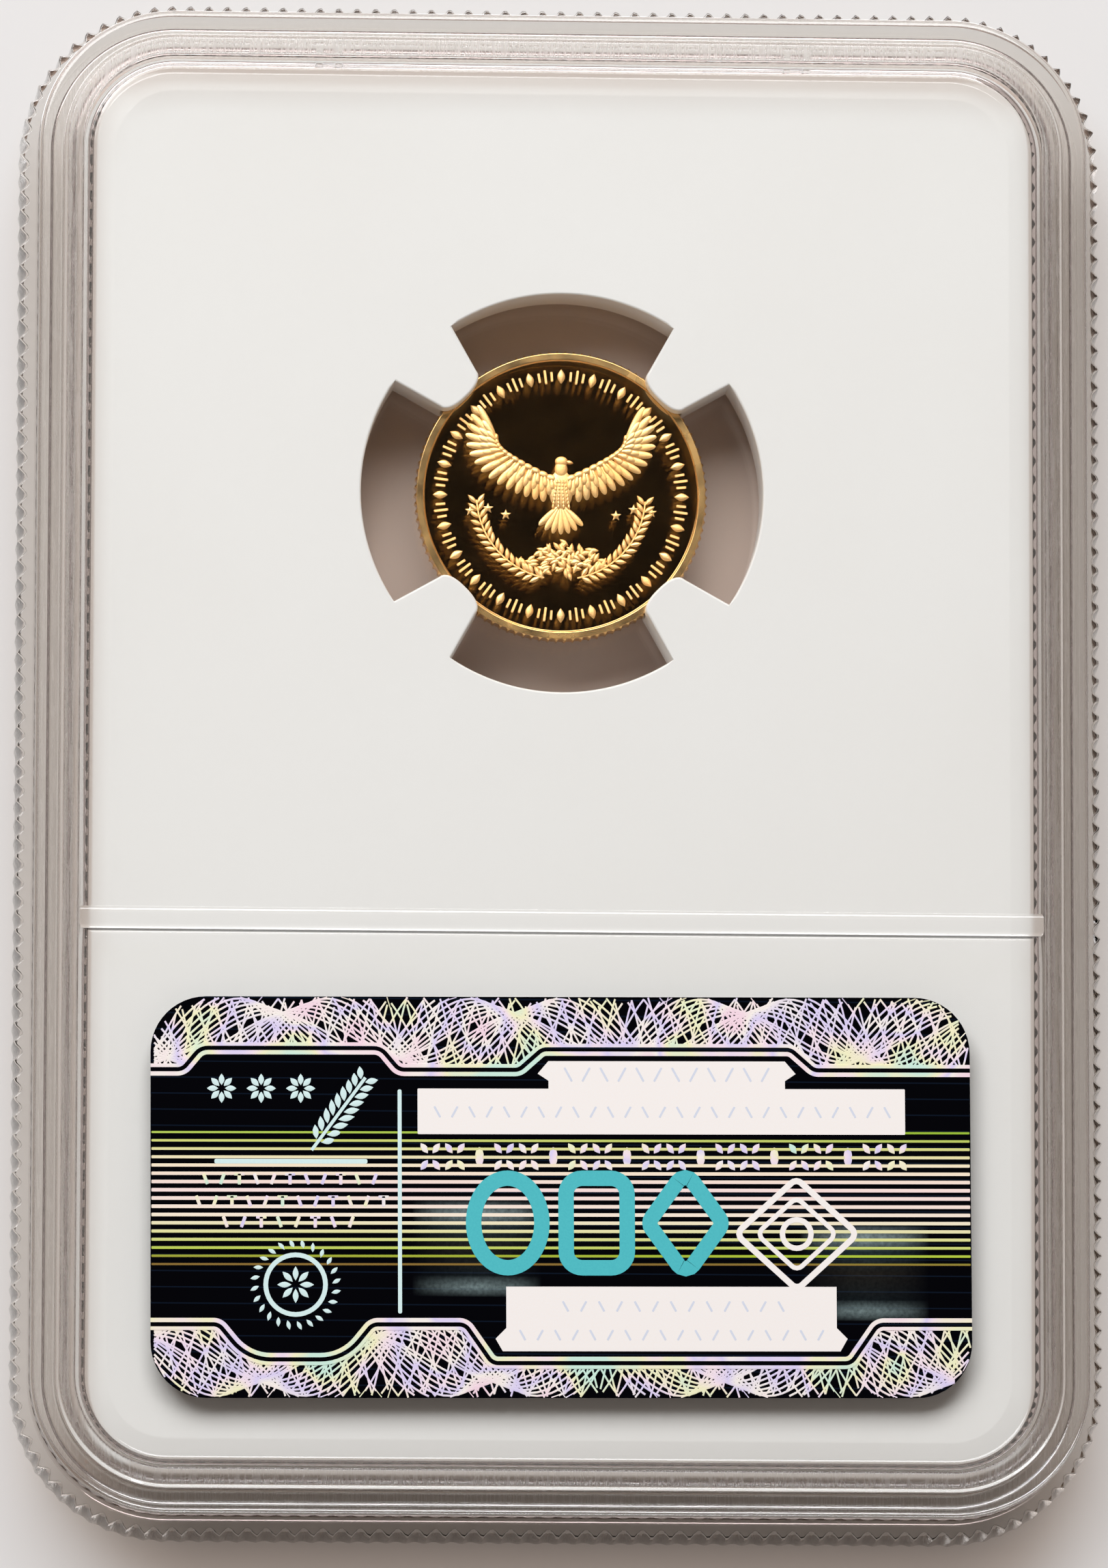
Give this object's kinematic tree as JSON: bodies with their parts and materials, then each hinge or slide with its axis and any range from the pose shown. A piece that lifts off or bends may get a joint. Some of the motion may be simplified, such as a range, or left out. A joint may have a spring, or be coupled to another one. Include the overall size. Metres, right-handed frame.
{
  "type": "graded coin slab",
  "caption": "Sealed clear plastic coin holder: two welded half shells round a white core that grips a small gold coin, with a card label and a foil sticker.",
  "frame": {"origin": "centre of the slab's outline, on the plane of its front rim, which it lies on", "axes": "+X across its width, +Y along its height towards the coin end, +Z through its thickness towards the back window"},
  "size_m": [0.0612, 0.0868, 0.008],
  "materials": {
    "clear_shell": "clear injection-moulded polystyrene, polished windows, handling scratches on the ridges",
    "white_core": "moulded opaque white, fine satin",
    "gold": "struck gold, mirror fields and frosted relief",
    "label_card": "coated printed card",
    "hologram_foil": "embossed diffractive foil, black print"
  },
  "bodies": {
    "root": {"front_shell": "clear_shell", "rear_shell": "clear_shell", "core": "white_core", "coin": "gold", "grading_label": "label_card", "security_hologram": "hologram_foil"}
  },
  "joints": []
}
